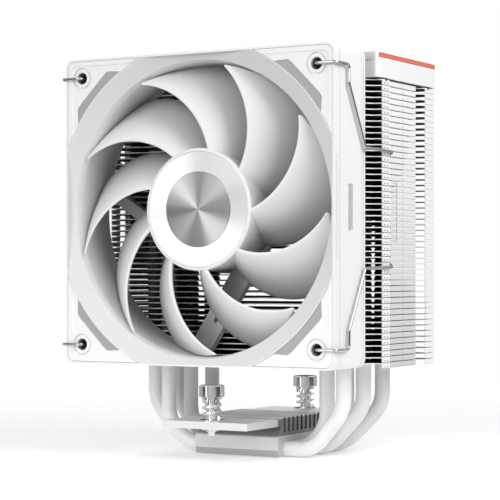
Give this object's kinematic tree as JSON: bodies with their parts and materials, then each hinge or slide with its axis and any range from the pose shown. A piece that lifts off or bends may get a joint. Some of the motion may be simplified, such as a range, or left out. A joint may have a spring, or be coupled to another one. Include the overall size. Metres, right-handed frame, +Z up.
{
  "type": "cpu tower cooler",
  "caption": "Tower air cooler for a processor: axial fan clipped to a finned stack on bent heat pipes, with a ribbed base and two sprung mounting screws.",
  "frame": {"origin": "centre of the base's contact face, which rests on the processor", "axes": "+Z up from the contact face, -Y towards the fan's air inlet, +X to the right seen from the fan's side"},
  "size_m": [0.1278, 0.0952, 0.1564],
  "materials": {
    "fan_plastic": "satin moulded white",
    "fin_coat": "white coating",
    "cover_coat": "smooth white coating",
    "base_metal": "fine satin",
    "pipe_coat": "smooth semi-gloss white",
    "pad_rubber": "soft matt",
    "insert_grey": "matt",
    "stripe": "fine diagonal hatch",
    "screw_steel": "polished plating",
    "spring_steel": "drawn wire",
    "hub_bright": "turned, bright",
    "hub_dark": "turned, darker",
    "motor_steel": "plain",
    "bush": "sintered",
    "winding": "enamelled copper wire",
    "magnet": "bonded ferrite",
    "board": "solder mask",
    "black_plastic": "plain"
  },
  "bodies": {
    "cooler": {"base_screws": "screw_steel", "bearing_bush": "bush", "circuit_board": "board", "contact_block": "base_metal", "cover_stripe_left": "stripe", "cover_stripe_right": "stripe", "fan_frame": "fan_plastic", "fin_stack": "fin_coat", "front_washer": "screw_steel", "heat_pipe_1": "pipe_coat", "heat_pipe_2": "pipe_coat", "heat_pipe_3": "pipe_coat", "heat_pipe_4": "pipe_coat", "heat_pipe_5": "pipe_coat", "motor_cap": "fan_plastic", "pad_front_lower_left": "pad_rubber", "pad_front_lower_right": "pad_rubber", "pad_front_upper_left": "pad_rubber", "pad_front_upper_right": "pad_rubber", "pad_inserts": "insert_grey", "pad_rear_lower_left": "pad_rubber", "pad_rear_lower_right": "pad_rubber", "pad_rear_upper_left": "pad_rubber", "pad_rear_upper_right": "pad_rubber", "rear_washer": "screw_steel", "ribbed_cover": "base_metal", "side_badge_left": "insert_grey", "side_badge_right": "insert_grey", "stator_coils": "winding", "stator_core": "motor_steel", "thrust_pad": "black_plastic", "top_cover": "cover_coat", "top_panel": "cover_coat", "wire_clip_left": "spring_steel", "wire_clip_right": "spring_steel"},
    "rotor": {"impeller": "fan_plastic", "hub_ring": "hub_bright", "hub_disc": "hub_dark", "rotor_yoke": "motor_steel", "magnet_ring": "magnet", "rotor_shaft": "screw_steel", "shaft_clip": "screw_steel"},
    "front_plunger": {"front_spring_cup": "screw_steel", "front_spring": "screw_steel"},
    "front_fastener": {"front_screw": "screw_steel", "front_screw_ring": "screw_steel"},
    "rear_plunger": {"rear_spring_cup": "screw_steel", "rear_spring": "screw_steel"},
    "rear_fastener": {"rear_screw": "screw_steel", "rear_screw_ring": "screw_steel"}
  },
  "joints": [
    {"name": "rotor_spin", "type": "hinge", "parent": "cooler", "child": "rotor", "pos_m": [0, -0.0379, 0.09615], "axis": [0, -1, 0], "continuous": true},
    {"name": "front_screw_press", "type": "slide", "parent": "cooler", "child": "front_plunger", "axis": [0, 0, -1], "range_m": [0, 0.003], "stiffness_N_per_m": 2500, "springref_m": -0.003, "deforming": ["front_spring"]},
    {"name": "front_screw_turn", "type": "hinge", "parent": "front_plunger", "child": "front_fastener", "pos_m": [0, -0.03775, 0.024], "axis": [0, 0, 1], "continuous": true},
    {"name": "rear_screw_press", "type": "slide", "parent": "cooler", "child": "rear_plunger", "axis": [0, 0, -1], "range_m": [0, 0.003], "stiffness_N_per_m": 2500, "springref_m": -0.003, "deforming": ["rear_spring"]},
    {"name": "rear_screw_turn", "type": "hinge", "parent": "rear_plunger", "child": "rear_fastener", "pos_m": [0, 0.03775, 0.024], "axis": [0, 0, 1], "continuous": true}
  ]
}
